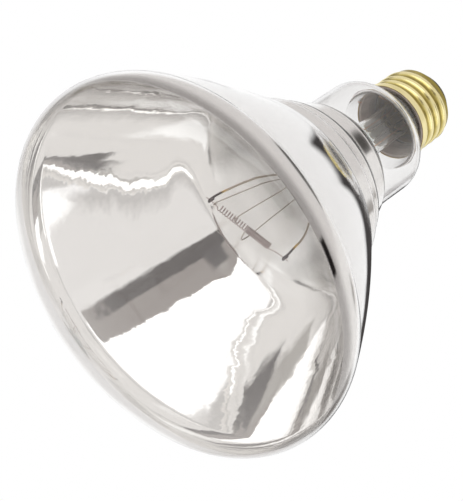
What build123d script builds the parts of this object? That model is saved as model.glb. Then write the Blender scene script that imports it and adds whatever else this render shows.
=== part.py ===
"""Reflector bulb with a clear domed face, a silvered cone and a screw base.

The bulb stands on its face: the origin is the tip of the dome, +Z runs up the axis to the
screw base, and +X runs along the filament. Lengths are in millimetres, angles in degrees.
"""
from build123d import *
from math import acos, degrees, radians, tan
import os

# Glass envelope, outside sizes, from the tip of the dome upwards
FACE_RADIUS = 63.5
FACE_HEIGHT = 29.0
FACE_CORNER_RADIUS = 10.1
SKIRT_RADIUS = 14.0
SKIRT_ANGLE = 27.0
CONE_LENGTH = 42.5
CONE_TOP_RADIUS = 39.9
STEPS_LENGTH = 34.7
NECK_RADIUS = 20.0
NECK_LENGTH = 23.2
SHOULDER_ROUNDING = 6.0
SHOULDER_RISE = 1.4
THROAT_RADIUS = 14.4
THROAT_LENGTH = 8.0
THROAT_ROUNDING = 1.4
GLASS_WALL = 1.0

# Moulded steps from the cone down to the neck: share of their length, share of the drop in
# radius that is still to come, and the rounding of the corner
STEP_CORNERS = [
    (0.115, 0.864, 3.2),
    (0.222, 0.673, 1.6),
    (0.418, 0.578, 2.6),
    (0.481, 0.462, 0.9),
    (0.597, 0.402, 2.2),
    (0.695, 0.246, 1.4),
    (0.919, 0.116, 2.4),
]
NECK_ROOT_ROUNDING = 0.8

# Neck glass inside the screw base, with its gaps to the inside of the shell
MOUTH_GAP = 0.85
MOUTH_DEPTH = 0.4
MOUTH_ROUNDING = 1.3
GRIP_GAP = 0.95
GRIP_START = 3.4
GRIP_ROUNDING = 0.8
GRIP_END = 7.0

# Silvered film on the inside of the glass
FILM = 0.15
FILM_PAST_WIDEST = 2.6
FILM_PAST_STEPS = 0.4

# Screw base shell: one rolled sheet with a knuckle thread, heights from its rim
SHEET = 0.25
RIM_RADIUS = 13.6
RIM_LENGTH = 2.2
RIM_SLOPE = 0.8
THREAD_CREST_RADIUS = 13.2
THREAD_ROOT_RADIUS = 12.4
THREAD_PITCH = 3.63
THREAD_TURNS = 3.6
THREAD_RIDGE_WIDTH = 2.6
THREAD_START = 1.6
THREAD_START_ANGLE = 216.0
THREAD_RUNOUT = 0.3
SHELL_TAPER = 3.6
SHELL_END_RADIUS = 9.6

# Insulator, which seats in the shell's taper, with the centre contact, the solder and the cement
INSULATOR_SEAT = 0.8
INSULATOR_WALL = 1.6
INSULATOR_RISE = 3.5
INSULATOR_TOP_RADIUS = 5.6
EYELET_RADIUS = 1.5
EYELET_WALL = 0.4
CONTACT_RADIUS = 4.7
CONTACT_THICKNESS = 0.6
SOLDER_RADIUS = 2.6
SOLDER_RISE = 1.1
CEMENT_START = 0.3
CEMENT_END = 6.4
SIDE_SOLDER_SIZE = (0.9, 1.6, 1.2)
SIDE_SOLDER_HEIGHT = 0.7

# Glass stem: a tube with one end pressed flat and the other flared out to the neck
STEM_LENGTH = 40.4
STEM_RADIUS = 5.85
STEM_WALL = 1.0
FLARE_LIP = 0.85
PRESS_LENGTH = 8.0
PRESS_BLEND = 7.0
PRESS_HALF_WIDTH = 7.6
PRESS_HALF_DEPTH = 3.2
PRESS_SIDE_WALL = 1.6
PRESS_FLOOR = 1.0
PRESS_ROUNDING = 0.8
EXHAUST_RADIUS = 2.0
EXHAUST_WALL = 0.7
EXHAUST_DEPTH = 3.0
EXHAUST_LENGTH = 45.0
EXHAUST_HOLE_RADIUS = 0.8
EXHAUST_HOLE_RISE = 1.5
ROD_RADIUS = 1.5
ROD_LENGTH = 9.4
BUTTON_RADIUS = 2.9
BUTTON_THICKNESS = 3.2
BUTTON_ROUNDING = 1.3

# Lead wires: nickel inside the bulb, a seal wire through the press, copper in the base
MOUNT_LENGTH = 44.7
LEAD_RADIUS = 0.36
LEAD_SPREAD = 3.5
LEAD_DEPTH = 2.5
SEAL_WIRE_RADIUS = 0.25
OUTER_LEAD_RADIUS = 0.22
OUTER_LEAD_PAST_TUBE = 1.0
OUTER_LEAD_OVER_GLASS = 1.2
OUTER_LEAD_FOLD = 0.5
SHELL_CLEARANCE = 0.2
RIM_CLEARANCE = 0.05
UNDER_RIM_CLEARANCE = 0.12
LEFT_CLAMP = -13.6
RIGHT_CLAMP = 16.9
CLAMP_LENGTH = 2.0
HOOK_CLEARANCE = 0.03
LEFT_LEAD_BENDS = [(-13.6, 6.0), (-11.8, 17.5), (-8.0, 29.0)]
RIGHT_LEAD_BENDS = [(16.3, 4.5), (15.0, 13.5), (8.5, 30.0)]
LEAD_STRAIGHT = 3.7

# Filament: a loose half and a close half wound from one wire, with a straight tail at each end
COIL_START = -9.6
COIL_CHANGE = 1.6
COIL_END = 10.9
COIL_RADIUS = 1.15
FILAMENT_WIRE_RADIUS = 0.16
LOOSE_TURNS = 11
CLOSE_TURNS = 18
TAIL_PAST_CLAMP = 1.6
TAIL_RUN = 2.9
WIRE_KNOT_RADIUS = 0.22

# Support wires, as places across, behind and above the middle of the filament
SUPPORT_RADIUS = 0.19
SUPPORT_GRIP = 1.5
LEFT_SUPPORT_BENDS = [(-4.6, 0.0, 32.2), (-7.6, 0.0, 22.7), (-10.0, -0.6, 8.2)]
LEFT_SUPPORT_PAST_CLAMP = 1.85
LEFT_SUPPORT_HOOK = 1.4
MIDDLE_SUPPORT_BENDS = [(-0.9, -3.6, 31.0), (-1.6, -1.4, 20.5), (-2.9, -0.4, 11.0)]
MIDDLE_SUPPORT_TURN = 6
MIDDLE_SUPPORT_ENTRY = 3.0
MIDDLE_SUPPORT_FOOT = 1.6
MIDDLE_SUPPORT_CLEARANCE = 0.1
RIGHT_SUPPORT_BENDS = [(1.0, 3.8, 30.5), (2.1, 2.2, 16.0)]
RIGHT_SUPPORT_CLEARANCE = 0.16
RIGHT_SUPPORT_PASS = [(3.1, 3.0), (3.3, -1.8)]
RIGHT_SUPPORT_LOOP = [(3.5, 0.2, -5.9), (2.4, -0.9, -2.3)]

# Heights and radii of the main places, from the dimensions above
CONE_TOP = FACE_HEIGHT + CONE_LENGTH
NECK_LOW = CONE_TOP + STEPS_LENGTH
NECK_TOP = NECK_LOW + NECK_LENGTH
BASE_LOW = NECK_TOP + THROAT_LENGTH
GLASS_TOP = BASE_LOW + GRIP_END
THREAD_DEPTH = THREAD_CREST_RADIUS - THREAD_ROOT_RADIUS
THREAD_ROUNDING = (THREAD_RIDGE_WIDTH ** 2 / 4 + THREAD_DEPTH ** 2) / (2 * THREAD_DEPTH)
THREAD_END = THREAD_START + THREAD_TURNS * THREAD_PITCH + THREAD_RIDGE_WIDTH / 2
SHELL_STRAIGHT = THREAD_END + THREAD_RUNOUT
SHELL_TOP = SHELL_STRAIGHT + SHELL_TAPER
INSULATOR_START = SHELL_STRAIGHT + INSULATOR_SEAT
INSULATOR_TOP = SHELL_TOP + INSULATOR_RISE
MOUTH_RADIUS = RIM_RADIUS - SHEET - MOUTH_GAP
GRIP_RADIUS = THREAD_ROOT_RADIUS - SHEET - GRIP_GAP
PRESS_LOW = GLASS_TOP - STEM_LENGTH
PRESS_TOP = PRESS_LOW + PRESS_LENGTH
SEAL_TOP = PRESS_TOP + PRESS_FLOOR
FILAMENT_HEIGHT = PRESS_LOW - MOUNT_LENGTH
BUTTON_TOP = PRESS_LOW - ROD_LENGTH
BUTTON_MIDDLE = BUTTON_TOP - BUTTON_THICKNESS / 2
SIDE_LEAD_RADIUS = THREAD_ROOT_RADIUS - SHEET - OUTER_LEAD_RADIUS - SHELL_CLEARANCE
RIM_LEAD_RADIUS = RIM_RADIUS - SHEET - OUTER_LEAD_RADIUS - RIM_CLEARANCE


def solid_of_section(section):
    """Turn a section, drawn with the radius along X and the height along Y, about the axis."""
    return revolve(Plane.XZ * section, Axis.Z)


def band(low, high, radius):
    """Section of a plain disc between two heights."""
    middle = (low + high) / 2
    return Pos(radius / 2, middle) * Rectangle(radius, high - low)


def disc(low, high, radius):
    """Plain cylinder on the axis between two heights."""
    return Pos(0, 0, (low + high) / 2) * Cylinder(radius, high - low)


def corner_radii(points, share=0.45):
    """Largest even rounding of each corner of a route, from the shorter of its two runs."""
    corners = [Vector(*point) for point in points]
    radii = []
    for before, here, after in zip(corners, corners[1:], corners[2:]):
        turn = radians((here - before).get_angle(after - here))
        run = min((here - before).length, (after - here).length)
        radii.append(share * run / tan(turn / 2))
    return radii


def wire_along(points, radius):
    """Round wire along straight runs joined by tangent arcs."""
    path = FilletPolyline(*points, radius=corner_radii(points))
    return sweep(Plane(path @ 0, z_dir=path % 0) * Circle(radius), path=path)


def glass_region(inset):
    """Half section of all that lies inside the envelope's outside, less an inset wall."""
    fall = 2 * FACE_RADIUS * FACE_CORNER_RADIUS - FACE_RADIUS ** 2 - FACE_HEIGHT ** 2
    dome_radius = fall / (2 * (FACE_CORNER_RADIUS - FACE_HEIGHT))
    corner_x = FACE_RADIUS - FACE_CORNER_RADIUS
    dome_angle = degrees(acos((dome_radius - FACE_HEIGHT) / (dome_radius - FACE_CORNER_RADIUS)))
    dome = CenterArc((0, dome_radius), dome_radius, -90, dome_angle)
    corner = CenterArc((corner_x, FACE_HEIGHT), FACE_CORNER_RADIUS, dome_angle - 90, 90 - dome_angle)
    skirt = CenterArc((FACE_RADIUS - SKIRT_RADIUS, FACE_HEIGHT), SKIRT_RADIUS, 0, SKIRT_ANGLE)
    cone = TangentArc(skirt @ 1, (CONE_TOP_RADIUS, CONE_TOP), tangent=skirt % 1)
    drop = CONE_TOP_RADIUS - NECK_RADIUS
    steps = [(NECK_RADIUS + out * drop, CONE_TOP + up * STEPS_LENGTH) for up, out, _ in STEP_CORNERS]
    corners = [
        cone @ 1,
        *steps,
        (NECK_RADIUS, NECK_LOW),
        (NECK_RADIUS, NECK_TOP),
        (THROAT_RADIUS, NECK_TOP + SHOULDER_RISE),
        (MOUTH_RADIUS, BASE_LOW + MOUTH_DEPTH),
        (GRIP_RADIUS, BASE_LOW + GRIP_START),
        (GRIP_RADIUS, GLASS_TOP),
    ]
    roundings = [rounding for _, _, rounding in STEP_CORNERS]
    roundings += [NECK_ROOT_ROUNDING, SHOULDER_ROUNDING, THROAT_ROUNDING, MOUTH_ROUNDING, GRIP_ROUNDING]
    upper = FilletPolyline(*corners, radius=roundings)
    close = Polyline(upper @ 1, (0, GLASS_TOP), (0, 0))
    half = make_face([dome, corner, skirt, cone, *upper.edges(), *close.edges()])
    if inset == 0:
        return half
    whole = half + mirror(half, about=Plane.YZ)
    inner = offset(whole, -inset, kind=Kind.INTERSECTION) & band(0, GLASS_TOP, FACE_RADIUS)
    return inner + band(BASE_LOW + GRIP_START + GRIP_ROUNDING, GLASS_TOP, GRIP_RADIUS - inset)


def bulb_glass():
    return solid_of_section(glass_region(0)) - solid_of_section(glass_region(GLASS_WALL))


def reflector_film():
    low = FACE_HEIGHT - FILM_PAST_WIDEST
    high = NECK_LOW + FILM_PAST_STEPS
    sheet = glass_region(GLASS_WALL) - glass_region(GLASS_WALL + FILM)
    return solid_of_section(sheet & band(low, high, FACE_RADIUS))


def outline_solid(points):
    """Turned solid under an outline given as (radius, height above the shell's rim)."""
    corners = [(radius, BASE_LOW + height) for radius, height in points]
    return solid_of_section(make_face(Polyline(*corners, close=True)))


def thread_coil(section_radius):
    """Rounded ridge of the knuckle thread, to be added to or taken from the shell's tube."""
    ridge_radius = THREAD_CREST_RADIUS - THREAD_ROUNDING
    start = (0, 0, BASE_LOW + THREAD_START)
    path = Helix(THREAD_PITCH, THREAD_TURNS * THREAD_PITCH, ridge_radius, center=start)
    section = Plane(path @ 0, z_dir=path % 0) * Circle(section_radius)
    return Rot(0, 0, THREAD_START_ANGLE) * sweep(section, path=path, is_frenet=True)


def shell_outline(inset):
    """Corners of the shell's plain form without its thread, less an inset wall."""
    return [
        (0, 0),
        (RIM_RADIUS - inset, 0),
        (RIM_RADIUS - inset, RIM_LENGTH),
        (THREAD_ROOT_RADIUS - inset, RIM_LENGTH + RIM_SLOPE),
        (THREAD_ROOT_RADIUS - inset, SHELL_STRAIGHT),
        (SHELL_END_RADIUS - inset, SHELL_TOP),
        (0, SHELL_TOP),
    ]


def base_shell():
    outer = outline_solid(shell_outline(0)) + thread_coil(THREAD_ROUNDING)
    inner = outline_solid(shell_outline(SHEET)) + thread_coil(THREAD_ROUNDING - SHEET)
    return outer - inner


def base_insulator():
    taper = (THREAD_ROOT_RADIUS - SHELL_END_RADIUS) / SHELL_TAPER
    start_radius = THREAD_ROOT_RADIUS - taper * INSULATOR_SEAT - SHEET
    floor = INSULATOR_TOP - INSULATOR_WALL
    return outline_solid([
        (start_radius, INSULATOR_START),
        (SHELL_END_RADIUS - SHEET, SHELL_TOP),
        (INSULATOR_TOP_RADIUS, INSULATOR_TOP),
        (EYELET_RADIUS, INSULATOR_TOP),
        (EYELET_RADIUS, floor),
        (INSULATOR_TOP_RADIUS - INSULATOR_WALL, floor),
        (start_radius - INSULATOR_WALL, INSULATOR_START),
    ])


def centre_contact():
    hole = EYELET_RADIUS - EYELET_WALL
    top = INSULATOR_TOP + CONTACT_THICKNESS
    return outline_solid([
        (hole, INSULATOR_TOP - INSULATOR_WALL),
        (EYELET_RADIUS, INSULATOR_TOP - INSULATOR_WALL),
        (EYELET_RADIUS, INSULATOR_TOP),
        (CONTACT_RADIUS, INSULATOR_TOP),
        (CONTACT_RADIUS - CONTACT_THICKNESS / 2, top),
        (hole, top),
    ])


def centre_solder():
    """Drop of solder on the contact, with the plug that fills its eyelet."""
    top = BASE_LOW + INSULATOR_TOP + CONTACT_THICKNESS
    ball_radius = (SOLDER_RADIUS ** 2 + SOLDER_RISE ** 2) / (2 * SOLDER_RISE)
    ball = Pos(0, 0, top + SOLDER_RISE - ball_radius) * Sphere(ball_radius)
    dome = ball & disc(top, top + SOLDER_RISE, SOLDER_RADIUS)
    plug = disc(BASE_LOW + INSULATOR_TOP - INSULATOR_WALL, top, EYELET_RADIUS - EYELET_WALL)
    return dome + plug


def side_solder(shell, lead):
    """Drop of solder that joins the side lead to the outside of the rim."""
    middle = BASE_LOW + SIDE_SOLDER_HEIGHT
    reach = SIDE_SOLDER_SIZE[2]
    drop = Pos(-RIM_RADIUS, 0, middle) * scale(Sphere(1), by=SIDE_SOLDER_SIZE)
    inside = disc(middle - reach, middle + reach, RIM_RADIUS - SHEET / 2)
    return drop - inside - shell - lead


def base_cement(lead):
    ring = outline_solid(shell_outline(SHEET)) & disc(
        BASE_LOW + CEMENT_START, BASE_LOW + CEMENT_END, RIM_RADIUS)
    return ring - solid_of_section(glass_region(0)) - lead


def stem_glass(cuts):
    """Stem tube with its flare and its pressed end, drilled for the wires and the exhaust tube."""
    middle = STEM_RADIUS - STEM_WALL / 2
    top = GLASS_TOP - STEM_WALL / 2
    blend_top = PRESS_TOP + PRESS_BLEND
    reach = GRIP_RADIUS - GLASS_WALL
    flare = reach - FLARE_LIP - middle
    run = Line((middle, blend_top), (middle, top - flare))
    bend = CenterArc((middle + flare, top - flare), flare, 180, -90)
    lip = Line(bend @ 1, (reach, top))
    tube = solid_of_section(trace([run, bend, lip], line_width=STEM_WALL))
    flat = Plane.XY.offset(PRESS_TOP) * Ellipse(PRESS_HALF_WIDTH, PRESS_HALF_DEPTH)
    blend = loft([flat, Plane.XY.offset(blend_top) * Circle(STEM_RADIUS)])
    floor = Plane.XY.offset(SEAL_TOP) * Ellipse(
        PRESS_HALF_WIDTH - PRESS_SIDE_WALL, PRESS_HALF_DEPTH - STEM_WALL)
    hollow = loft([floor, Plane.XY.offset(blend_top) * Circle(STEM_RADIUS - STEM_WALL)])
    press = Plane.XY.offset(PRESS_LOW) * extrude(Ellipse(PRESS_HALF_WIDTH, PRESS_HALF_DEPTH), PRESS_LENGTH)
    press = fillet(press.edges().group_by(Axis.Z)[0], PRESS_ROUNDING)
    return tube + (blend - hollow) + press - cuts


def exhaust_tube():
    low = PRESS_TOP - EXHAUST_DEPTH
    tip = low + EXHAUST_LENGTH - EXHAUST_RADIUS
    bore = EXHAUST_RADIUS - EXHAUST_WALL
    outside = disc(low, tip, EXHAUST_RADIUS) + Pos(0, 0, tip) * Sphere(EXHAUST_RADIUS)
    inside = disc(low, tip, bore) + Pos(0, 0, tip) * Sphere(bore)
    return outside - inside - exhaust_hole()


def exhaust_hole():
    """Blown hole from the exhaust tube out through the side of the press."""
    height = PRESS_TOP - EXHAUST_DEPTH + EXHAUST_HOLE_RISE
    hole = Rot(90, 0, 0) * Cylinder(EXHAUST_HOLE_RADIUS, 2 * PRESS_HALF_DEPTH)
    return Pos(0, PRESS_HALF_DEPTH, height) * hole


def support_rod(wires):
    """Glass rod with a button at its end that the support wires are set in."""
    low = BUTTON_TOP - BUTTON_THICKNESS
    button = disc(low, BUTTON_TOP, BUTTON_RADIUS)
    button = fillet(button.edges(), BUTTON_ROUNDING)
    return disc(BUTTON_MIDDLE, PRESS_LOW, ROD_RADIUS) + button - wires


def inner_lead(clamp, bends, spread):
    """Nickel lead from a hook round the filament's tail up into the press."""
    gap = LEAD_RADIUS + FILAMENT_WIRE_RADIUS + HOOK_CLEARANCE
    hook = [
        (clamp, gap, FILAMENT_HEIGHT + CLAMP_LENGTH),
        (clamp, gap, FILAMENT_HEIGHT - gap),
        (clamp, -gap, FILAMENT_HEIGHT - gap),
        (clamp, -gap, FILAMENT_HEIGHT + CLAMP_LENGTH),
    ]
    rise = [(x, 0, FILAMENT_HEIGHT + height) for x, height in bends]
    foot = [(spread, 0, PRESS_LOW - LEAD_STRAIGHT), (spread, 0, PRESS_LOW + LEAD_DEPTH)]
    return wire_along(hook + rise + foot, LEAD_RADIUS)


def seal_wire(spread):
    low = PRESS_LOW + LEAD_DEPTH
    return Pos(spread, 0, 0) * disc(low, SEAL_TOP, SEAL_WIRE_RADIUS)


def outer_lead_centre():
    """Copper lead from the press up to the solder in the centre contact."""
    bend = PRESS_TOP - EXHAUST_DEPTH + EXHAUST_LENGTH + OUTER_LEAD_PAST_TUBE
    end = BASE_LOW + INSULATOR_TOP - INSULATOR_WALL
    return wire_along([
        (LEAD_SPREAD, 0, SEAL_TOP),
        (LEAD_SPREAD, 0, bend),
        (0, 0, (bend + 2 * end) / 3),
        (0, 0, end),
    ], OUTER_LEAD_RADIUS)


def outer_lead_side():
    """Copper lead over the end of the neck glass and down to the rim of the shell."""
    over = GLASS_TOP + OUTER_LEAD_OVER_GLASS
    under = BASE_LOW - OUTER_LEAD_RADIUS - UNDER_RIM_CLEARANCE
    return wire_along([
        (-LEAD_SPREAD, 0, SEAL_TOP),
        (-LEAD_SPREAD, 0, over),
        (-SIDE_LEAD_RADIUS, 0, over),
        (-SIDE_LEAD_RADIUS, 0, BASE_LOW + RIM_LENGTH + RIM_SLOPE),
        (-RIM_LEAD_RADIUS, 0, BASE_LOW + RIM_LENGTH / 2),
        (-RIM_LEAD_RADIUS, 0, under),
        (-RIM_RADIUS - OUTER_LEAD_FOLD, 0, under),
    ], OUTER_LEAD_RADIUS)


def lifted(points):
    """Places given from the middle of the filament, as places in the part's frame."""
    return [(x, y, FILAMENT_HEIGHT + z) for x, y, z in points]


def button_seat(first_bend):
    """Where a support wire starts inside the button, on the side that its first bend faces."""
    outward = Vector(first_bend[0], first_bend[1], 0).normalized() * SUPPORT_GRIP
    return (outward.X, outward.Y, BUTTON_MIDDLE - FILAMENT_HEIGHT)


def support_wire_left():
    """Support that ends in a hook round the filament's left tail."""
    gap = SUPPORT_RADIUS + FILAMENT_WIRE_RADIUS + HOOK_CLEARANCE
    end = LEFT_CLAMP + LEFT_SUPPORT_PAST_CLAMP
    hook = [(end, -gap, -gap), (end, gap, -gap), (end, gap, LEFT_SUPPORT_HOOK)]
    route = [button_seat(LEFT_SUPPORT_BENDS[0])] + LEFT_SUPPORT_BENDS + hook
    return wire_along(lifted(route), SUPPORT_RADIUS)


def support_wire_middle():
    """Support that passes between two loose turns and lies along the inside of the coil."""
    pitch = (COIL_CHANGE - COIL_START) / LOOSE_TURNS
    gap_x = COIL_START + MIDDLE_SUPPORT_TURN * pitch
    floor = 2 * FILAMENT_WIRE_RADIUS + SUPPORT_RADIUS + MIDDLE_SUPPORT_CLEARANCE - COIL_RADIUS
    foot = [(gap_x, 0, MIDDLE_SUPPORT_ENTRY), (gap_x, 0, floor), (gap_x + MIDDLE_SUPPORT_FOOT, 0, floor)]
    route = [button_seat(MIDDLE_SUPPORT_BENDS[0])] + MIDDLE_SUPPORT_BENDS + foot
    return wire_along(lifted(route), SUPPORT_RADIUS)


def support_wire_right():
    """Support that runs down behind the coil and loops back up under it."""
    behind = COIL_RADIUS + SUPPORT_RADIUS + RIGHT_SUPPORT_CLEARANCE
    beside = [(x, behind, z) for x, z in RIGHT_SUPPORT_PASS]
    route = [button_seat(RIGHT_SUPPORT_BENDS[0])] + RIGHT_SUPPORT_BENDS + beside + RIGHT_SUPPORT_LOOP
    return wire_along(lifted(route), SUPPORT_RADIUS)


def coil(start, end, turns):
    """Helix of filament wire along X, which starts and ends at its lowest point."""
    middle_radius = COIL_RADIUS - FILAMENT_WIRE_RADIUS
    path = Helix((end - start) / turns, end - start, middle_radius)
    turned = sweep(Plane(path @ 0, z_dir=path % 0) * Circle(FILAMENT_WIRE_RADIUS), path=path, is_frenet=True)
    return Pos(start, 0, FILAMENT_HEIGHT) * Rot(0, 90, 0) * turned


def filament():
    floor = FILAMENT_WIRE_RADIUS - COIL_RADIUS
    left_tail = lifted([
        (LEFT_CLAMP - TAIL_PAST_CLAMP, 0, 0), (LEFT_CLAMP + TAIL_RUN, 0, 0), (COIL_START, 0, floor)])
    right_tail = lifted([
        (RIGHT_CLAMP + TAIL_PAST_CLAMP, 0, 0), (RIGHT_CLAMP - TAIL_RUN, 0, 0), (COIL_END, 0, floor)])
    knots = [Pos(x, 0, FILAMENT_HEIGHT + floor) * Sphere(WIRE_KNOT_RADIUS)
             for x in (COIL_START, COIL_CHANGE, COIL_END)]
    loose = coil(COIL_START, COIL_CHANGE, LOOSE_TURNS)
    close = coil(COIL_CHANGE, COIL_END, CLOSE_TURNS)
    left = loose + knots[0] + wire_along(left_tail, FILAMENT_WIRE_RADIUS)
    return left + knots[1] + close + knots[2] + wire_along(right_tail, FILAMENT_WIRE_RADIUS)


def main():
    shell = base_shell()
    side_lead = outer_lead_side()
    leads = {
        "lead_wire_left": inner_lead(LEFT_CLAMP, LEFT_LEAD_BENDS, -LEAD_SPREAD),
        "lead_wire_right": inner_lead(RIGHT_CLAMP, RIGHT_LEAD_BENDS, LEAD_SPREAD),
    }
    seals = {
        "seal_wire_left": seal_wire(-LEAD_SPREAD),
        "seal_wire_right": seal_wire(LEAD_SPREAD),
    }
    supports = {
        "support_wire_left": support_wire_left(),
        "support_wire_middle": support_wire_middle(),
        "support_wire_right": support_wire_right(),
    }
    exhaust_seat = disc(PRESS_TOP - EXHAUST_DEPTH, SEAL_TOP, EXHAUST_RADIUS)
    press_cuts = [*leads.values(), *seals.values(), exhaust_seat, exhaust_hole()]
    pieces = {
        "bulb_glass": bulb_glass(),
        "reflector_film": reflector_film(),
        "stem_glass": stem_glass(press_cuts),
        "exhaust_tube": exhaust_tube(),
        "support_rod": support_rod(list(supports.values())),
        **leads,
        **seals,
        "outer_lead_centre": outer_lead_centre(),
        "outer_lead_side": side_lead,
        **supports,
        "filament": filament(),
        "base_shell": shell,
        "base_cement": base_cement(side_lead),
        "base_insulator": base_insulator(),
        "centre_contact": centre_contact(),
        "centre_solder": centre_solder(),
        "side_solder": side_solder(shell, side_lead),
    }
    os.makedirs("parts", exist_ok=True)
    for name, piece in pieces.items():
        export_step(piece, f"parts/{name}.step")


main()
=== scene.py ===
from math import acos, atan2, ceil, cos, degrees, hypot, pi, radians, sin, tan

import bpy
import numpy as np
from mathutils import Euler, Matrix

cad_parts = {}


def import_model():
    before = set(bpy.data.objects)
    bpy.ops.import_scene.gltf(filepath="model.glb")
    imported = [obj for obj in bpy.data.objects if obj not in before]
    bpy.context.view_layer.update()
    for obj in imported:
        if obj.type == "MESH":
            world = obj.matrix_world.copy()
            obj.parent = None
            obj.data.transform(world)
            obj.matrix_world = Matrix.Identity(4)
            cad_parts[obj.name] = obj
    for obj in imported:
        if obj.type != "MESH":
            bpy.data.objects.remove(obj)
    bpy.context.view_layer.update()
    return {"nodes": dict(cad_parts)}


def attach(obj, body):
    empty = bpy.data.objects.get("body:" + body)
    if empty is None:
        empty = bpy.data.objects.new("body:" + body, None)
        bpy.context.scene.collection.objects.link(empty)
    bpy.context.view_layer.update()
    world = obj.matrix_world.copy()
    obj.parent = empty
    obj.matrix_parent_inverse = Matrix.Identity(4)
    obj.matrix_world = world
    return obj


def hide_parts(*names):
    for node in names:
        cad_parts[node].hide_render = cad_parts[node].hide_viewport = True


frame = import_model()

# Lengths are in millimetres and angles in degrees, unless a comment gives another unit
MM = 0.001

# Rolled shell of the screw base, with heights from its rim
SHEET = 0.25
RIM_RADIUS = 13.6
RIM_LENGTH = 2.2
RIM_SLOPE = 0.8
THREAD_CREST_RADIUS = 13.2
THREAD_ROOT_RADIUS = 12.4
THREAD_PITCH = 3.63
THREAD_TURNS = 3.6
THREAD_RIDGE_WIDTH = 2.6
THREAD_START = 1.6
THREAD_START_ANGLE = 216.0
THREAD_RUNOUT = 0.3
SHELL_STRAIGHT = THREAD_START + THREAD_TURNS * THREAD_PITCH + THREAD_RIDGE_WIDTH / 2 + THREAD_RUNOUT
SHELL_TAPER = 3.6
SHELL_TOP = SHELL_STRAIGHT + SHELL_TAPER
SHELL_END_RADIUS = 9.6

# Stretches in which the thread's ridge rises and runs out, in turns
THREAD_RISES = 0.12
THREAD_FALLS = 0.18

# Glass envelope, outside sizes, from the tip of the dome upwards
FACE_RADIUS = 63.5
FACE_HEIGHT = 29.0
FACE_CORNER_RADIUS = 10.1
SKIRT_RADIUS = 14.0
SKIRT_ANGLE = 27.0
CONE_LENGTH = 42.5
CONE_TOP = FACE_HEIGHT + CONE_LENGTH
CONE_TOP_RADIUS = 39.9
STEPS_LENGTH = 34.7
NECK_RADIUS = 20.0
NECK_LENGTH = 23.2
NECK_LOW = CONE_TOP + STEPS_LENGTH
NECK_TOP = NECK_LOW + NECK_LENGTH
NECK_ROOT_ROUNDING = 0.8
SHOULDER_ROUNDING = 6.0
SHOULDER_RISE = 1.4
THROAT_RADIUS = 14.4
THROAT_ROUNDING = 1.4
THROAT_LENGTH = 8.0
BASE_LOW = NECK_TOP + THROAT_LENGTH
MOUTH_GAP = 0.85
MOUTH_RADIUS = RIM_RADIUS - SHEET - MOUTH_GAP
MOUTH_DEPTH = 0.4
MOUTH_ROUNDING = 1.3
GRIP_GAP = 0.95
GRIP_RADIUS = THREAD_ROOT_RADIUS - SHEET - GRIP_GAP
GRIP_START = 3.4
GRIP_ROUNDING = 0.8
GRIP_END = 7.0
GLASS_TOP = BASE_LOW + GRIP_END
GLASS_WALL = 1.0

# Moulded steps from the cone up to the neck: share of their length, share of the drop in
# radius that is still to come, and the rounding of the corner
STEP_CORNERS = [
    (0.115, 0.864, 3.2),
    (0.222, 0.673, 1.6),
    (0.418, 0.578, 2.6),
    (0.481, 0.462, 0.9),
    (0.597, 0.402, 2.2),
    (0.695, 0.246, 1.4),
    (0.919, 0.116, 2.4),
]

# Silvered film inside the glass
FILM_PAST_WIDEST = 2.6
FILM_PAST_STEPS = 0.4
FILM_LOW = FACE_HEIGHT - FILM_PAST_WIDEST
FILM_HIGH = NECK_LOW + FILM_PAST_STEPS
FILM_GAP = 0.02
FILM_THICKNESS = 0.13

# The film's own side is smooth past the first of these heights. It lies inside the stepped film
# by the insets, at these heights, at the valleys between the steps and at the film's end.
SMOOTH_HEIGHTS = (54.0, 62.0, 70.0)
SMOOTH_VALLEYS = (1, 3, 5)
SMOOTH_INSETS = (0, 0, 0.15, 0.2, 0.25, 0.2, 0)
SMOOTH_SPACING = 0.7

# Fineness of the meshes
GLASS_COLUMNS = 160
FILM_COLUMNS = 240
SHELL_COLUMNS = 192
SHELL_EDGE = 0.05
SHELL_SPACING = 0.2
TAPER_ROWS = 12
LONGEST_STRETCH = 1.2
SAME_POINT = 1e-4
AXIS_RADIUS = 0.001

FLOOR_REACH = 3000

# Studio round the bulb as soft-edged cards: azimuth from and to, elevation from and to, half the
# width of the soft edge, lean of the azimuths per degree above LEAN_FROM, and the colour
LEAN_FROM = -30.0
CARDS = [
    (-190, 190, 79, 91, 2.5, 0, (0.10, 0.095, 0.09)),
    (-14, 75, 5, 91, 8, 0, (0.98, 0.97, 0.955)),
    (70, 160, 22, 91, 8, 0, (1, 1, 1)),
    (-142, -60, -40.5, -11, 1.6, 0, (1.7, 1.7, 1.7)),
    (-87, -48, -48, -14, 1.2, 1.1, (0.32, 0.29, 0.275)),
    (-66, -40, -51, -20, 1.2, 0.35, (0.09, 0.08, 0.078)),
    (-53, -12, -62, -12.5, 1.6, 0, (0.82, 0.80, 0.785)),
    (-118, -82, -50, -40.5, 2.5, 0, (0.44, 0.42, 0.40)),
    (-84, -64, -54, -38, 2.5, 0, (0.11, 0.10, 0.10)),
    (-26, 16, -12.5, -1.5, 1.5, 0, (1.5, 1.5, 1.5)),
    (-30, 5, -74, -46, 4, 0, (1.15, 1.15, 1.15)),
    (-38, -18, 14, 31, 2, 0, (0.035, 0.03, 0.03)),
    (63, 89, 39, 71, 2, 0.4, (0.06, 0.055, 0.055)),
    (57, 75, 23, 46, 4, 0, (0.30, 0.28, 0.27)),
    (28, 46, 59, 66, 3, 0, (0.42, 0.40, 0.38)),
    (165, 190, 2, 16, 3, 0, (0.30, 0.28, 0.24)),
    (-190, -168, 2, 16, 3, 0, (0.30, 0.28, 0.24)),
]
STUDIO_COLOUR = (0.82, 0.80, 0.785)
SOFT_LIGHT = 0.65
LAMP_SPREAD = 35
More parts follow.
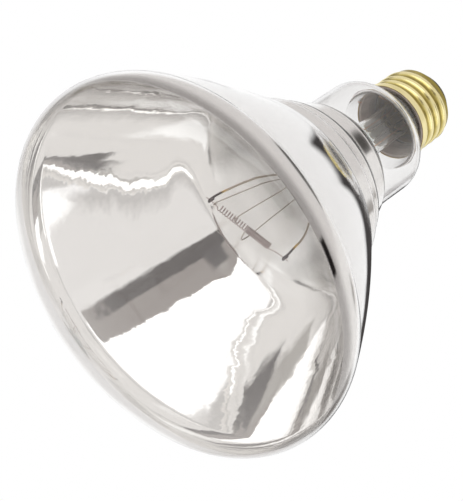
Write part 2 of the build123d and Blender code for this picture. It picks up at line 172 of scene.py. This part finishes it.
LAMP_STRENGTH = 1.4
LAMP_TURN = (20, 23, 0)

# Camera at the photograph's angle, with its place in metres
CAMERA_PLACE = (0.22580, -0.48539, -0.40696)
CAMERA_TURN = (145.912, -38.402, -18.048)
CAMERA_LENS = 165.5
CAMERA_SENSOR = 36

# Outlines, as points of (radius, height)


def arc(centre, radius, start, turn, step=2.5):
    """Points along an arc, about a step of its angle apart."""
    count = max(3, ceil(abs(turn) / step))
    angles = [radians(start + turn * i / count) for i in range(count + 1)]
    return [(centre[0] + radius * cos(a), centre[1] + radius * sin(a)) for a in angles]


def arc_between(centre, start, end, step=2.5):
    """Points along the shorter arc from one point round to another."""
    first = degrees(atan2(start[1] - centre[1], start[0] - centre[0]))
    last = degrees(atan2(end[1] - centre[1], end[0] - centre[0]))
    turn = (last - first + 180) % 360 - 180
    return arc(centre, hypot(start[0] - centre[0], start[1] - centre[1]), first, turn, step)


def tangent_arc(start, direction, end):
    """Points along the arc that leaves start in a direction and reaches end."""
    across = np.array((-direction[1], direction[0]))
    chord = np.subtract(end, start)
    radius = chord @ chord / (2 * chord @ across)
    return arc_between(np.add(start, across * radius), start, end, step=0.5)


def rounded(corners, radii):
    """Route through corners that are rounded by tangent arcs."""
    route = [corners[0]]
    for before, here, after, radius in zip(corners, corners[1:], corners[2:], radii):
        here = np.array(here)
        back = np.subtract(before, here)
        on = np.subtract(after, here)
        back /= hypot(*back)
        on /= hypot(*on)
        half = acos(back @ on) / 2
        middle = (back + on) / hypot(*(back + on))
        centre = here + middle * radius / sin(half)
        run = radius / tan(half)
        route += arc_between(centre, here + back * run, here + on * run, step=6)
    return route + [corners[-1]]


def evenly(points):
    """The same route with its long runs divided and repeated points left out."""
    route = [points[0]]
    for end in points[1:]:
        start = route[-1]
        length = hypot(end[0] - start[0], end[1] - start[1])
        if length > SAME_POINT:
            count = ceil(length / LONGEST_STRETCH)
            shares = [i / count for i in range(1, count + 1)]
            route += [tuple(np.add(start, np.subtract(end, start) * share)) for share in shares]
    return route


def inward(points, inset):
    """A route that starts on the axis, moved to the inside by an inset."""
    route = np.array(points)
    along = np.gradient(route, axis=0)
    along /= np.linalg.norm(along, axis=1)[:, None]
    moved = route + inset * np.column_stack((-along[:, 1], along[:, 0]))
    moved[0, 0] = 0
    return [tuple(p) for p in moved]


def cut_heights(points, low, high):
    """The stretch of a rising route between two heights."""
    radii, heights = np.array(points).T
    kept = [(r, z) for r, z in points if low < z < high]
    ends = [(float(np.interp(z, heights, radii)), z) for z in (low, high)]
    return [ends[0], *kept, ends[1]]


def glass_outline():
    """Outside of the glass from the dome's tip, over the cone and the steps, to its open end."""
    fall = 2 * FACE_RADIUS * FACE_CORNER_RADIUS - FACE_RADIUS ** 2 - FACE_HEIGHT ** 2
    dome_radius = fall / (2 * (FACE_CORNER_RADIUS - FACE_HEIGHT))
    dome_angle = degrees(acos((dome_radius - FACE_HEIGHT) / (dome_radius - FACE_CORNER_RADIUS)))
    dome = arc((0, dome_radius), dome_radius, -90, dome_angle, step=0.5)
    corner = arc((FACE_RADIUS - FACE_CORNER_RADIUS, FACE_HEIGHT), FACE_CORNER_RADIUS,
                 dome_angle - 90, 90 - dome_angle)
    skirt = arc((FACE_RADIUS - SKIRT_RADIUS, FACE_HEIGHT), SKIRT_RADIUS, 0, SKIRT_ANGLE, step=1.5)
    slope = (-sin(radians(SKIRT_ANGLE)), cos(radians(SKIRT_ANGLE)))
    cone = tangent_arc(skirt[-1], slope, (CONE_TOP_RADIUS, CONE_TOP))
    drop = CONE_TOP_RADIUS - NECK_RADIUS
    steps = [(NECK_RADIUS + out * drop, CONE_TOP + up * STEPS_LENGTH) for up, out, _ in STEP_CORNERS]
    corners = [
        cone[-1],
        *steps,
        (NECK_RADIUS, NECK_LOW),
        (NECK_RADIUS, NECK_TOP),
        (THROAT_RADIUS, NECK_TOP + SHOULDER_RISE),
        (MOUTH_RADIUS, BASE_LOW + MOUTH_DEPTH),
        (GRIP_RADIUS, BASE_LOW + GRIP_START),
        (GRIP_RADIUS, GLASS_TOP),
    ]
    radii = [rounding for _, _, rounding in STEP_CORNERS]
    radii += [NECK_ROOT_ROUNDING, SHOULDER_ROUNDING, THROAT_ROUNDING, MOUTH_ROUNDING, GRIP_ROUNDING]
    return evenly(dome + corner + skirt + cone + rounded(corners, radii))


# Meshes


def linked(name, data):
    """New object in the scene."""
    made = bpy.data.objects.new(name, data)
    bpy.context.collection.objects.link(made)
    return made


def piece(name, vertices, faces):
    """Smooth object from points in millimetres, with its own origin at the part's."""
    mesh = bpy.data.meshes.new(name)
    mesh.from_pydata((np.array(vertices) * MM).tolist(), [], faces)
    mesh.shade_smooth()
    return linked(name, mesh)


def ring_points(section, columns):
    """Points of a section turned about the axis, row by row."""
    angles = np.linspace(0, 2 * pi, columns, endpoint=False)
    return [(r * cos(a), r * sin(a), z) for r, z in section for a in angles]


def grid_faces(rows, columns, closed):
    """Faces of a grid that is closed round its columns, and round its rows too if closed."""
    faces = []
    for row in range(rows if closed else rows - 1):
        after = (row + 1) % rows * columns
        here = row * columns
        for i in range(columns):
            j = (i + 1) % columns
            faces.append((here + i, here + j, after + j, after + i))
    return faces


def mark_inside(made, rows, columns):
    """Second material slot for the faces past the given rows, which are the inner side."""
    inside = [face // columns >= rows for face in range(len(made.data.polygons))]
    made.data.polygons.foreach_set("material_index", inside)


def glass_mesh(outline):
    """Glass of an even wall, closed at the tip of the dome outside and inside."""
    inner = inward(outline, GLASS_WALL)
    section = [(max(r, AXIS_RADIUS), z) for r, z in outline + inner[::-1]]
    faces = grid_faces(len(section), GLASS_COLUMNS, False)
    faces.append(tuple(reversed(range(GLASS_COLUMNS))))
    last = (len(section) - 1) * GLASS_COLUMNS
    faces.append(tuple(range(last, last + GLASS_COLUMNS)))
    return piece("glass_envelope", ring_points(section, GLASS_COLUMNS), faces)


def curve_through(places, values, at):
    """Values between the given places, on cubic pieces that share their slopes."""
    slopes = np.gradient(values, places)
    span = np.clip(np.searchsorted(places, at) - 1, 0, len(places) - 2)
    width = places[span + 1] - places[span]
    share = (at - places[span]) / width
    rest = 1 - share
    low = values[span] * (1 + 2 * share) + slopes[span] * width * share
    high = values[span + 1] * (1 + 2 * rest) - slopes[span + 1] * width * rest
    return low * rest ** 2 + high * share ** 2


def smoothed_steps(route):
    """The film's own side, with one smooth wall over the steps."""
    radii, heights = np.array(route).T
    valleys = [CONE_TOP + STEP_CORNERS[i][0] * STEPS_LENGTH for i in SMOOTH_VALLEYS]
    places = np.array([*SMOOTH_HEIGHTS, *valleys, FILM_HIGH])
    values = np.interp(places, heights, radii) - np.array(SMOOTH_INSETS)
    at = np.arange(places[0], FILM_HIGH, SMOOTH_SPACING)
    kept = [p for p in route if p[1] < places[0]]
    return [*kept, *zip(curve_through(places, values, at), at), route[-1]]


def film_mesh(outline):
    """Thin film with its second material slot on the side that faces the filament."""
    outer = cut_heights(inward(outline, GLASS_WALL + FILM_GAP), FILM_LOW, FILM_HIGH)
    stepped = cut_heights(inward(outline, GLASS_WALL + FILM_GAP + FILM_THICKNESS), FILM_LOW, FILM_HIGH)
    section = outer + smoothed_steps(stepped)[::-1]
    faces = grid_faces(len(section), FILM_COLUMNS, True)
    made = piece("mirror_film", ring_points(section, FILM_COLUMNS), faces)
    mark_inside(made, len(outer), FILM_COLUMNS)
    return made


def eased(value):
    """Soft change from 0 to 1."""
    value = min(max(value, 0), 1)
    return value * value * (3 - 2 * value)


def plain_radius(height):
    """Outside radius of the shell without its thread, at a height above its rim."""
    if height < RIM_LENGTH:
        return RIM_RADIUS
    if height < RIM_LENGTH + RIM_SLOPE:
        return RIM_RADIUS + (THREAD_ROOT_RADIUS - RIM_RADIUS) * eased((height - RIM_LENGTH) / RIM_SLOPE)
    if height < SHELL_STRAIGHT:
        return THREAD_ROOT_RADIUS
    share = (height - SHELL_STRAIGHT) / SHELL_TAPER
    return THREAD_ROOT_RADIUS + (SHELL_END_RADIUS - THREAD_ROOT_RADIUS) * share


def shell_radius(angle, height):
    """Outside radius of the rolled shell at an angle in turns and a height above its rim."""
    plain = plain_radius(height)
    if height >= SHELL_STRAIGHT:
        return plain
    round_from_start = (angle - THREAD_START_ANGLE / 360) % 1
    turns = (height - THREAD_START) / THREAD_PITCH - round_from_start
    nearest = max(round(turns), 0)
    along = nearest + round_from_start
    off = abs(turns - nearest)
    ridge = 0.5 + 0.5 * cos(2 * pi * min(off, 0.5))
    ends = eased(along / THREAD_RISES) * eased((THREAD_TURNS - along) / THREAD_FALLS)
    return max(plain, THREAD_ROOT_RADIUS + (THREAD_CREST_RADIUS - THREAD_ROOT_RADIUS) * ridge * ends)


def shell_mesh():
    """Sheet of an even thickness, rolled to the same ridges outside and inside."""
    straight = np.arange(SHELL_SPACING, SHELL_STRAIGHT, SHELL_SPACING)
    taper = np.linspace(SHELL_STRAIGHT, SHELL_TOP, TAPER_ROWS + 1)
    heights = [0, SHELL_EDGE, *straight, *taper]
    turns = [i / SHELL_COLUMNS for i in range(SHELL_COLUMNS)]
    outer = [[(shell_radius(turn, height), height) for turn in turns] for height in heights]
    inner = [[(radius - SHEET, height) for radius, height in row] for row in outer]
    vertices = []
    for row in outer + inner[::-1]:
        for turn, (radius, height) in zip(turns, row):
            angle = 2 * pi * turn
            vertices.append((radius * cos(angle), radius * sin(angle), BASE_LOW + height))
    made = piece("rolled_shell", vertices, grid_faces(2 * len(heights), SHELL_COLUMNS, True))
    mark_inside(made, len(heights), SHELL_COLUMNS)
    return made


# Materials


class Graph:
    """Short way to build the nodes of a material or of the world."""

    def __init__(self, tree):
        self.tree = tree

    def add(self, kind, settings=None, **inputs):
        """New node, its inputs given by name, or by i and a number, as values or sockets."""
        made = self.tree.nodes.new("ShaderNode" + kind)
        for key, value in (settings or {}).items():
            setattr(made, key, value)
        for key, value in inputs.items():
            numbered = key[0] == "i" and key[1:].isdigit()
            socket = made.inputs[int(key[1:]) if numbered else key.replace("_", " ")]
            if isinstance(value, bpy.types.NodeSocket):
                self.tree.links.new(value, socket)
            else:
                socket.default_value = value
        return made

    def math(self, operation, *values, clamp=False):
        """Result of one operation on numbers or sockets."""
        inputs = {f"i{i}": value for i, value in enumerate(values)}
        return self.add("Math", {"operation": operation, "use_clamp": clamp}, **inputs).outputs[0]

    def place(self):
        """Point in the object's own coordinates, in metres."""
        return self.add("TexCoord").outputs["Object"]

    def height(self):
        """Height in the object's own coordinates, in metres."""
        return self.add("SeparateXYZ", Vector=self.place()).outputs["Z"]

    def noise(self, scale, detail):
        """Noise between 0 and 1, finer with a larger scale."""
        return self.add("TexNoise", Vector=self.place(), Scale=scale, Detail=detail).outputs["Fac"]

    def mix(self, factor, first, second):
        """Colour between the first and the second, by a factor."""
        return self.add("Mix", {"data_type": "RGBA"}, i0=factor, i6=first, i7=second).outputs[2]

    def ramp(self, value, *stops):
        """Colour from a value, by stops of (place, colour)."""
        made = self.add("ValToRGB", Fac=value)
        elements = made.color_ramp.elements
        while len(elements) < len(stops):
            elements.new(0.5)
        for element, (at, colour) in zip(elements, stops):
            element.position = at
            element.color = (*colour, 1)
        return made.outputs["Color"]

    def spread(self, value, low, high, start=0.0, end=1.0):
        """Value mapped from the range of start and end to the range of low and high."""
        made = self.add("MapRange", Value=value)
        for i, number in enumerate((start, end, low, high)):
            made.inputs[i + 1].default_value = number
        return made.outputs["Result"]

    def rise(self, start, end, low=0.0, high=1.0):
        """Value that goes from low to high between two heights."""
        return self.spread(self.height(), low, high, start * MM, end * MM)


class Paint(Graph):
    """Nodes of a material round its Principled shader."""

    def __init__(self, name, **sockets):
        self.material = bpy.data.materials.new(name)
        self.material.use_nodes = True
        super().__init__(self.material.node_tree)
        self.shader = self.tree.nodes["Principled BSDF"]
        for socket, value in sockets.items():
            self.shader.inputs[socket.replace("_", " ")].default_value = value

    def link(self, source, socket):
        """Drives one of the shader's inputs, given by name."""
        self.tree.links.new(source, self.shader.inputs[socket])

    def bump(self, height, distance, strength):
        """Relief that stands the distance high, in millimetres, where the height is 1."""
        made = self.add("Bump", Height=height, Strength=strength, Distance=distance * MM)
        self.link(made.outputs["Normal"], "Normal")

    def clear_where(self, share, tint=(1, 1, 1, 1)):
        """Lets light straight through where the share is 1."""
        clear = self.add("BsdfTransparent", Color=tint)
        mixed = self.add("MixShader", i0=share, i1=self.shader.outputs[0], i2=clear.outputs[0])
        self.tree.links.new(mixed.outputs[0], self.tree.nodes["Material Output"].inputs["Surface"])

    def clear_to_lamps(self, tint):
        """Glass that lets the lamp's light through to what is behind it."""
        self.clear_where(self.add("LightPath").outputs["Is Shadow Ray"], tint)


def clear_glass():
    """Clear glass, greyer in a band round the film's edge and in the drawn neck, and darker there edge on
    with painted shade that stands in for darker reflections.
    """
    clear = (0.99, 0.986, 0.983)
    # A greyer band in the glass round the film's edge, from 24 to 27.75 mm high
    film_edge_grey = (0.70, 0.69, 0.685)
    neck = (0.94, 0.937, 0.935)
    paint = Paint("clear_glass", Roughness=0.0, IOR=1.5, Transmission_Weight=1)
    low, high = 18.75, 109.5
    stops = ((low, clear), (24, film_edge_grey), (27.75, film_edge_grey), (30, clear), (103.5, clear), (high, neck))
    body = paint.ramp(paint.rise(low, high), *[((at - low) / (high - low), tint) for at, tint in stops])
    # Painted shade: the neck's glass turns darker edge on, in place of the darker reflections there
    edge = paint.spread(paint.add("LayerWeight", Blend=0.5).outputs["Facing"], 0, 1, 0.5, 1)
    painted_edge_shade_in_neck = paint.math("MULTIPLY", paint.rise(104, 110), edge)
    paint.link(paint.mix(painted_edge_shade_in_neck, body, (0.55, 0.54, 0.545, 1)), "Base Color")
    paint.bump(paint.noise(scale=35, detail=2), distance=0.10, strength=0.4)
    paint.clear_to_lamps((0.96, 0.97, 0.96, 1))
    return paint.material


def silver_outside():
    """The film as it shows through the glass from outside."""
    paint = Paint("silver_film_outside", Base_Color=(0.76, 0.745, 0.735, 1), Metallic=1.0, Roughness=0.03)
    paint.bump(paint.noise(scale=60, detail=2), distance=0.08, strength=0.3)
    return paint.material


def silver_inside():
    """The film's own side: rippled in the cone, and dull over the steps."""
    paint = Paint("silver_film_inside", Base_Color=(0.955, 0.95, 0.94, 1), Metallic=1.0)
    paint.link(paint.rise(77, 87, 0.03, 0.26), "Roughness")
    fine = paint.math("MULTIPLY", paint.noise(scale=210, detail=2), 0.30)
    waves = paint.math("ADD", paint.noise(scale=40, detail=2), fine)
    paint.bump(waves, distance=0.22, strength=0.45)
    return paint.material


def stem_material():
    """Drawn glass, a little greener than the envelope."""
    paint = Paint("stem_glass", Base_Color=(0.93, 0.95, 0.94, 1), Roughness=0.02, IOR=1.5,
                  Transmission_Weight=1)
    paint.bump(paint.noise(scale=90, detail=2), distance=0.05, strength=0.25)
    paint.clear_to_lamps((0.9, 0.92, 0.9, 1))
    return paint.material


def brass():
    """Brighter on the thread's crests and darker in its roots, partly from wear and tarnish and partly as
    painted highlight and painted shade.
    """
    tarnish_and_root_shade = (0.34, 0.27, 0.07)
    worn_brass = (0.70, 0.585, 0.21)
    wear_and_crest_highlight = (0.93, 0.83, 0.46)
    crest_highlight_radius = 13.0
    paint = Paint("shell_brass", Metallic=1.0)
    way = paint.add("SeparateXYZ", Vector=paint.place()).outputs
    squares = [paint.math("POWER", way[axis], 2) for axis in ("X", "Y")]
    radius = paint.math("SQRT", paint.math("ADD", *squares))
    # Painted highlight and painted shade, with wear and tarnish: the colour runs from dark in the thread's
    # roots to bright on its crests
    raised = paint.spread(radius, 0, 1, THREAD_ROOT_RADIUS * MM, crest_highlight_radius * MM)
    patches = paint.spread(paint.noise(scale=150, detail=4), -0.45, 0.45)
    wear_and_painted_light = paint.math("ADD", raised, patches, clamp=True)
    paint.link(paint.ramp(wear_and_painted_light, (0.0, tarnish_and_root_shade), (0.45, worn_brass), (1.0, wear_and_crest_highlight)), "Base Color")
    paint.link(paint.spread(paint.noise(scale=400, detail=3), 0.14, 0.28), "Roughness")
    paint.bump(paint.noise(scale=900, detail=2), distance=0.03, strength=0.4)
    return paint.material


def brass_inside():
    """Duller and browner brass on the shell's inner side."""
    paint = Paint("shell_inside", Metallic=1.0)
    patches = paint.ramp(paint.noise(scale=180, detail=3), (0.3, (0.30, 0.19, 0.07)),
                         (0.7, (0.60, 0.43, 0.17)))
    paint.link(patches, "Base Color")
    paint.link(paint.spread(paint.noise(scale=300, detail=2), 0.32, 0.5), "Roughness")
    return paint.material


def wire(name, colours, roughness=0.35):
    """Drawn metal between two colours."""
    paint = Paint(name, Metallic=1.0)
    patches = paint.ramp(paint.noise(scale=500, detail=3), (0.3, colours[0]), (0.7, colours[1]))
    paint.link(patches, "Base Color")
    paint.link(paint.spread(paint.noise(scale=900, detail=2), roughness - 0.08, roughness + 0.1), "Roughness")
    paint.bump(paint.noise(scale=1500, detail=2), distance=0.02, strength=0.3)
    return paint.material


def lead_metal():
    """Nickel with heat tints that run up from the filament's clamps."""
    sooty = (0.12, 0.10, 0.10)
    dark = (0.13, 0.10, 0.10)
    straw = (0.75, 0.50, 0.18)
    dull = (0.52, 0.44, 0.37)
    nickel = (0.60, 0.53, 0.46)
    paint = Paint("lead_metal", Metallic=1.0)
    wander = paint.spread(paint.noise(scale=400, detail=3), -0.05, 0.05)
    share = paint.math("ADD", paint.rise(58, 80), wander)
    tints = paint.ramp(share, (0.0, sooty), (0.28, dark), (0.36, straw), (0.46, dull), (1.0, nickel))
    paint.link(tints, "Base Color")
    paint.link(paint.spread(paint.noise(scale=900, detail=2), 0.25, 0.42), "Roughness")
    return paint.material


def dark_glass():
    """Nearly black glass of the insulator."""
    paint = Paint("insulator_glass", Roughness=0.12, IOR=1.5)
    patches = paint.ramp(paint.noise(scale=220, detail=4), (0.35, (0.010, 0.009, 0.012)),
                         (0.7, (0.022, 0.018, 0.024)))
    paint.link(patches, "Base Color")
    paint.bump(paint.noise(scale=500, detail=3), distance=0.06, strength=0.5)
    return paint.material


def cement():
    """Rough pinkish cement."""
    paint = Paint("base_cement", Roughness=0.85)
    patches = paint.ramp(paint.noise(scale=260, detail=4), (0.3, (0.44, 0.36, 0.32)),
                         (0.7, (0.64, 0.55, 0.50)))
    paint.link(patches, "Base Color")
    paint.bump(paint.noise(scale=900, detail=4), distance=0.10, strength=0.5)
    return paint.material


def solder():
    """Grey solder, brighter in patches."""
    paint = Paint("solder", Metallic=1.0)
    patches = paint.ramp(paint.noise(scale=700, detail=4), (0.3, (0.42, 0.42, 0.43)),
                         (0.7, (0.62, 0.62, 0.63)))
    paint.link(patches, "Base Color")
    paint.link(paint.spread(paint.noise(scale=500, detail=3), 0.25, 0.5), "Roughness")
    paint.bump(paint.noise(scale=900, detail=4), distance=0.10, strength=0.6)
    return paint.material


# The object


def stand_for(made, node, slot, *materials):
    """Puts a finer mesh with its materials in the place of a node."""
    for material in materials:
        made.data.materials.append(material)
    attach(made, "root")
    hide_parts(node)


def dress(material, *nodes):
    """Gives nodes a material."""
    for name in nodes:
        for slot in frame["nodes"][name].material_slots:
            slot.material = material


outline = glass_outline()
stand_for(glass_mesh(outline), "bulb_glass", "clear_glass", clear_glass())
stand_for(film_mesh(outline), "reflector_film", "silver_film", silver_outside(), silver_inside())
stand_for(shell_mesh(), "base_shell", "shell_brass", brass(), brass_inside())

dress(stem_material(), "stem_glass", "exhaust_tube", "support_rod")
dress(lead_metal(), "lead_wire_left", "lead_wire_right")
dress(wire("copper_wire", ((0.50, 0.25, 0.13), (0.72, 0.40, 0.24))), "outer_lead_centre", "outer_lead_side")
dress(wire("seal_metal", ((0.45, 0.20, 0.12), (0.60, 0.30, 0.20))), "seal_wire_left", "seal_wire_right")
dress(wire("support_metal", ((0.52, 0.47, 0.43), (0.68, 0.62, 0.57))),
      "support_wire_left", "support_wire_middle", "support_wire_right")
dress(wire("filament_metal", ((0.46, 0.38, 0.37), (0.66, 0.57, 0.55)), roughness=0.4), "filament")
dress(cement(), "base_cement")
dress(dark_glass(), "base_insulator")
dress(wire("contact_brass", ((0.55, 0.44, 0.18), (0.70, 0.58, 0.26)), roughness=0.3), "centre_contact")
dress(solder(), "centre_solder", "side_solder")

# Floor, studio and camera


def floor():
    """Pale floor that keeps the shadow, and is clear from below and to reflected rays."""
    corners = [(-1, -1), (1, -1), (1, 1), (-1, 1)]
    made = piece("floor", [(x * FLOOR_REACH, y * FLOOR_REACH, 0) for x, y in corners], [(0, 1, 2, 3)])
    paint = Paint("floor", Base_Color=(0.86, 0.86, 0.86, 1), Roughness=0.9)
    paths = paint.add("LightPath").outputs
    clear = paint.add("NewGeometry").outputs["Backfacing"]
    for name in ("Is Glossy Ray", "Is Transmission Ray", "Is Shadow Ray"):
        clear = paint.math("MAXIMUM", clear, paths[name])
    paint.clear_where(clear)
    made.data.materials.append(paint.material)


def soft_step(sky, value, edge, half):
    """1 past an edge and 0 before it, or the other way round where half its width is negative."""
    made = sky.add("MapRange", {"interpolation_type": "SMOOTHSTEP"}, Value=value)
    made.inputs["From Min"].default_value = edge - half
    made.inputs["From Max"].default_value = edge + half
    return made.outputs["Result"]


def studio_colour(sky):
    """Colour of the studio by direction, with each card over those before it."""
    way = sky.add("SeparateXYZ", Vector=sky.add("TexCoord").outputs["Generated"]).outputs
    azimuth = sky.math("DEGREES", sky.math("ARCTAN2", way["Y"], way["X"]))
    elevation = sky.math("DEGREES", sky.math("ARCSINE", way["Z"]))
    raised = sky.math("SUBTRACT", elevation, LEAN_FROM)
    colour = (*STUDIO_COLOUR, 1)
    for left, right, low, high, soft, lean, card in CARDS:
        across = sky.math("SUBTRACT", azimuth, sky.math("MULTIPLY", raised, lean))
        edges = ((across, left, soft), (across, right, -soft),
                 (elevation, low, soft), (elevation, high, -soft))
        inside = 1.0
        for value, edge, half in edges:
            inside = sky.math("MULTIPLY", inside, soft_step(sky, value, edge, half))
        colour = sky.mix(inside, colour, (*card, 1))
    return colour


def world():
    """Studio in mirrors and glass, soft white light elsewhere, and white behind the bulb."""
    made = bpy.data.worlds.new("studio")
    bpy.context.scene.world = made
    made.use_nodes = True
    made.node_tree.nodes.clear()
    sky = Graph(made.node_tree)
    paths = sky.add("LightPath").outputs
    mirrored = sky.math("MAXIMUM", paths["Is Glossy Ray"], paths["Is Transmission Ray"])
    bounced = sky.math("ADD", paths["Glossy Depth"], paths["Diffuse Depth"])
    through = sky.math("MULTIPLY", paths["Is Transmission Ray"], sky.math("LESS_THAN", bounced, 0.5))
    direct = sky.math("MAXIMUM", paths["Is Camera Ray"], through)
    studio = sky.add("Background", Color=studio_colour(sky), Strength=1.0)
    soft = sky.add("Background", Color=(1, 1, 1, 1), Strength=SOFT_LIGHT)
    white = sky.add("Background", Color=(1, 1, 1, 1), Strength=1.0)
    lit = sky.add("MixShader", i0=mirrored, i1=soft.outputs[0], i2=studio.outputs[0])
    seen = sky.add("MixShader", i0=direct, i1=lit.outputs[0], i2=white.outputs[0])
    sky.add("OutputWorld", Surface=seen.outputs[0])


def camera():
    """Camera at the photograph's viewing angle."""
    data = bpy.data.cameras.new("camera")
    data.lens = CAMERA_LENS
    data.sensor_width = CAMERA_SENSOR
    made = linked("camera", data)
    turn = Euler([radians(angle) for angle in CAMERA_TURN])
    made.matrix_world = Matrix.Translation(CAMERA_PLACE) @ turn.to_matrix().to_4x4()
    bpy.context.scene.camera = made


def lamp():
    """Soft lamp above, which gives the floor its shadow and doesn't show in the mirror."""
    data = bpy.data.lights.new("soft_lamp", "SUN")
    data.angle = radians(LAMP_SPREAD)
    data.energy = LAMP_STRENGTH
    made = linked("soft_lamp", data)
    made.rotation_euler = [radians(angle) for angle in LAMP_TURN]
    made.visible_glossy = False
    made.visible_transmission = False


floor()
world()
camera()
lamp()
bpy.context.scene.cycles.max_bounces = 24
bpy.context.scene.cycles.glossy_bounces = 16
bpy.context.scene.cycles.transmission_bounces = 24
bpy.context.scene.cycles.transparent_max_bounces = 24
bpy.context.scene.view_settings.view_transform = "Standard"
